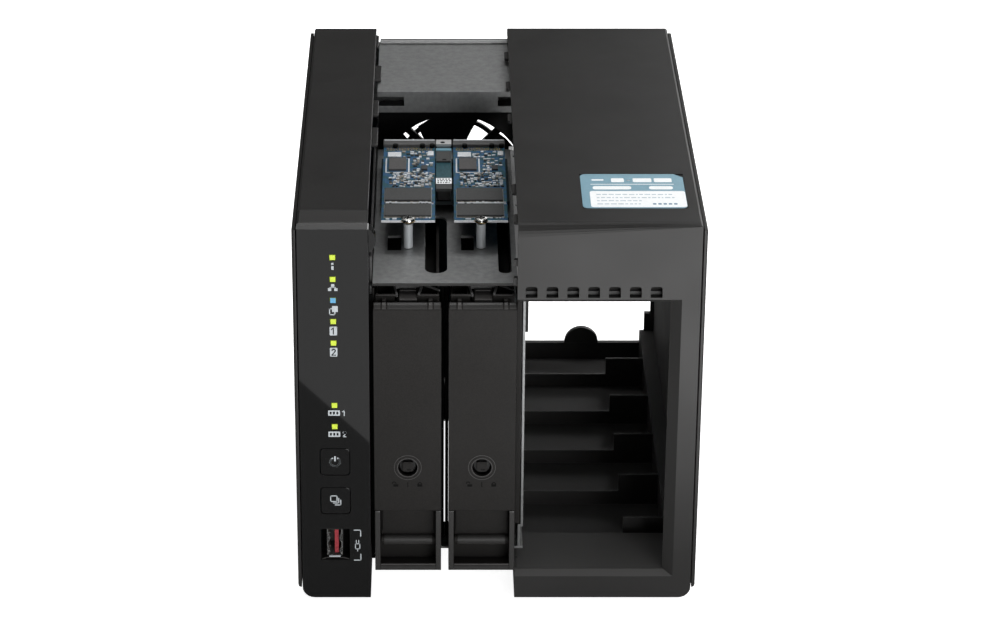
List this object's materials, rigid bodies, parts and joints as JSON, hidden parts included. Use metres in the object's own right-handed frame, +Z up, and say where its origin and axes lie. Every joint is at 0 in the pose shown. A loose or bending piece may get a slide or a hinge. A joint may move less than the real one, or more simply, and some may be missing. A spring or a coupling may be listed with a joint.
{
  "type": "network attached storage",
  "caption": "Desktop network storage box with its cover pulled aside, showing drive trays with hinged handles, shelf-mounted solid-state drives, a rear fan and a control panel.",
  "frame": {"origin": "centre of the bounding box's bottom face, with the cover pulled off to the right as it rests", "axes": "+Z up, -Y the front with the trays and controls, +X to the viewer's right, the way the cover comes off"},
  "size_m": [0.1644, 0.226, 0.1705],
  "materials": {
    "housing_black": "fine-grained black moulding",
    "panel_gloss": "polished piano-black moulding",
    "inner_plastic": "dark satin moulding",
    "sheet_steel": "galvanised sheet",
    "board_blue": "blue solder mask",
    "board_teal": "teal solder mask",
    "connector_black": "black glass-filled plastic",
    "light_pipe": "lit yellow-green",
    "usb_red": "red insulator",
    "label": "printed film, pale blue",
    "rubber": "soft matte",
    "drive_metal": "cast and stamped metal"
  },
  "bodies": {
    "case": {"backplane": "board_teal", "cage_floor": "sheet_steel", "cage_left_wall": "sheet_steel", "cage_right_wall": "sheet_steel", "cage_shelf": "sheet_steel", "dc_inlet": "connector_black", "fan_frame": "connector_black", "fan_guard": "sheet_steel", "front_board": "board_teal", "front_panel": "panel_gloss", "front_usb_port": "sheet_steel", "front_usb_tongue": "usb_red", "hdmi_port": "sheet_steel", "heat_sink": "drive_metal", "housing_foot_front": "rubber", "housing_foot_rear": "rubber", "lan_port_1": "sheet_steel", "lan_port_2": "sheet_steel", "left_guide_rail": "inner_plastic", "left_housing": "housing_black", "left_side_panel": "housing_black", "light_guide": "light_pipe", "m2_carrier_board": "board_teal", "m2_screw_1": "sheet_steel", "m2_screw_2": "sheet_steel", "m2_socket_1": "connector_black", "m2_socket_2": "connector_black", "m2_ssd_1": "board_blue", "m2_ssd_2": "board_blue", "m2_standoff_1": "sheet_steel", "m2_standoff_2": "sheet_steel", "mainboard": "board_teal", "rear_panel": "sheet_steel", "rear_top_plate": "sheet_steel", "rear_usb_ports": "sheet_steel", "right_guide_rail": "inner_plastic", "sata_connector_1": "connector_black", "sata_connector_2": "connector_black"},
    "cover": {"cover_shell": "housing_black", "cover_side_panel": "housing_black", "cover_label": "label", "cover_foot_front": "rubber", "cover_foot_rear": "rubber"},
    "drive_carrier_1": {"tray_1": "inner_plastic", "hard_drive_1": "drive_metal"},
    "drive_carrier_2": {"tray_2": "inner_plastic", "hard_drive_2": "drive_metal"},
    "handle_1": {"tray_handle_1": "inner_plastic"},
    "handle_2": {"tray_handle_2": "inner_plastic"},
    "lock_1": {"tray_lock_1": "connector_black"},
    "lock_2": {"tray_lock_2": "connector_black"},
    "power_key": {"power_button": "panel_gloss"},
    "copy_key": {"copy_button": "panel_gloss"},
    "reset_key": {"reset_button": "connector_black"},
    "fan_wheel": {"fan_rotor": "connector_black"}
  },
  "joints": [
    {"name": "cover_slide", "type": "slide", "parent": "case", "child": "cover", "axis": [1, 0, 0], "range_m": [-0.059, 0.02]},
    {"name": "tray_1_slide", "type": "slide", "parent": "case", "child": "drive_carrier_1", "axis": [0, -1, 0], "range_m": [0, 0.16]},
    {"name": "tray_handle_1_hinge", "type": "hinge", "parent": "drive_carrier_1", "child": "handle_1", "pos_m": [-0.0366, -0.1101, 0.1333], "axis": [-1, 0, 0], "range_deg": [0, 60]},
    {"name": "tray_lock_1_turn", "type": "hinge", "parent": "handle_1", "child": "lock_1", "pos_m": [-0.0366, -0.1127, 0.0633], "axis": [0, 1, 0], "range_deg": [0, 90]},
    {"name": "tray_2_slide", "type": "slide", "parent": "case", "child": "drive_carrier_2", "axis": [0, -1, 0], "range_m": [0, 0.16]},
    {"name": "tray_handle_2_hinge", "type": "hinge", "parent": "drive_carrier_2", "child": "handle_2", "pos_m": [-0.0064, -0.1101, 0.1333], "axis": [-1, 0, 0], "range_deg": [0, 60]},
    {"name": "tray_lock_2_turn", "type": "hinge", "parent": "handle_2", "child": "lock_2", "pos_m": [-0.0064, -0.1127, 0.0633], "axis": [0, 1, 0], "range_deg": [0, 90]},
    {"name": "power_button_press", "type": "slide", "parent": "case", "child": "power_key", "axis": [0, 1, 0], "range_m": [0, 0.001], "stiffness_N_per_m": 300},
    {"name": "copy_button_press", "type": "slide", "parent": "case", "child": "copy_key", "axis": [0, 1, 0], "range_m": [0, 0.001], "stiffness_N_per_m": 300},
    {"name": "reset_button_press", "type": "slide", "parent": "case", "child": "reset_key", "axis": [0, -1, 0], "range_m": [0, 0.0008], "stiffness_N_per_m": 200},
    {"name": "fan_spin", "type": "hinge", "parent": "case", "child": "fan_wheel", "pos_m": [-0.0172, 0.0975, 0.1035], "axis": [0, 1, 0], "continuous": true}
  ]
}
